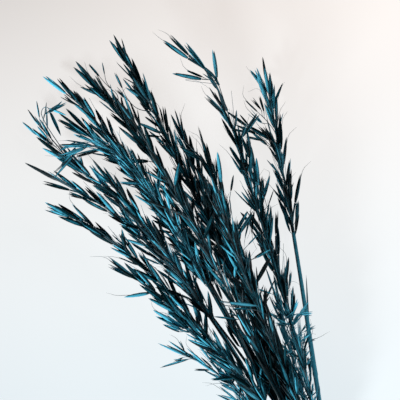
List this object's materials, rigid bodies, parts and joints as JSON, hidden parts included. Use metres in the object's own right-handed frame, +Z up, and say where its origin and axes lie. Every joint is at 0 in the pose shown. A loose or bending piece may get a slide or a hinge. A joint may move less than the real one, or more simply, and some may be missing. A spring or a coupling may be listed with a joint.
{
  "type": "dried oat bunch",
  "caption": "Tied bunch of dyed dried oat stems with long loose ears, lying flat; decoration, cut straw ends on one side of a twine tie.",
  "frame": {"origin": "on the table, at the middle of the lying bunch's footprint", "axes": "+Y from the cut straw ends to the ears, +Z up from the table, +X to the right as seen from the cut ends"},
  "size_m": [0.2368, 0.5698, 0.1534],
  "materials": {
    "dyed_oat": "dry plant dyed dark teal blue, faint silky sheen along the husks",
    "twine": "matt natural plant-fibre twine"
  },
  "bodies": {
    "root": {"ear_far_left": "dyed_oat", "ear_left_crown": "dyed_oat", "ear_right_inner": "dyed_oat", "ear_far_right": "dyed_oat", "ear_left_arching": "dyed_oat", "ear_left_spreading": "dyed_oat", "ear_middle_slim": "dyed_oat", "ear_low_right": "dyed_oat", "ear_right_upright": "dyed_oat", "ear_low_left": "dyed_oat", "ear_left_open": "dyed_oat", "ear_crown_left": "dyed_oat", "ear_crown_top": "dyed_oat", "ear_centre_right": "dyed_oat", "ear_right_forked": "dyed_oat", "ear_left_lower": "dyed_oat", "ear_left_thin": "dyed_oat", "ear_curled": "dyed_oat", "ear_right_crown": "dyed_oat", "ear_low_right_outer": "dyed_oat", "ear_lowest_left": "dyed_oat", "ear_left_foot": "dyed_oat", "ear_heart": "dyed_oat", "ear_heart_right": "dyed_oat", "twine_tie": "twine"}
  },
  "joints": []
}
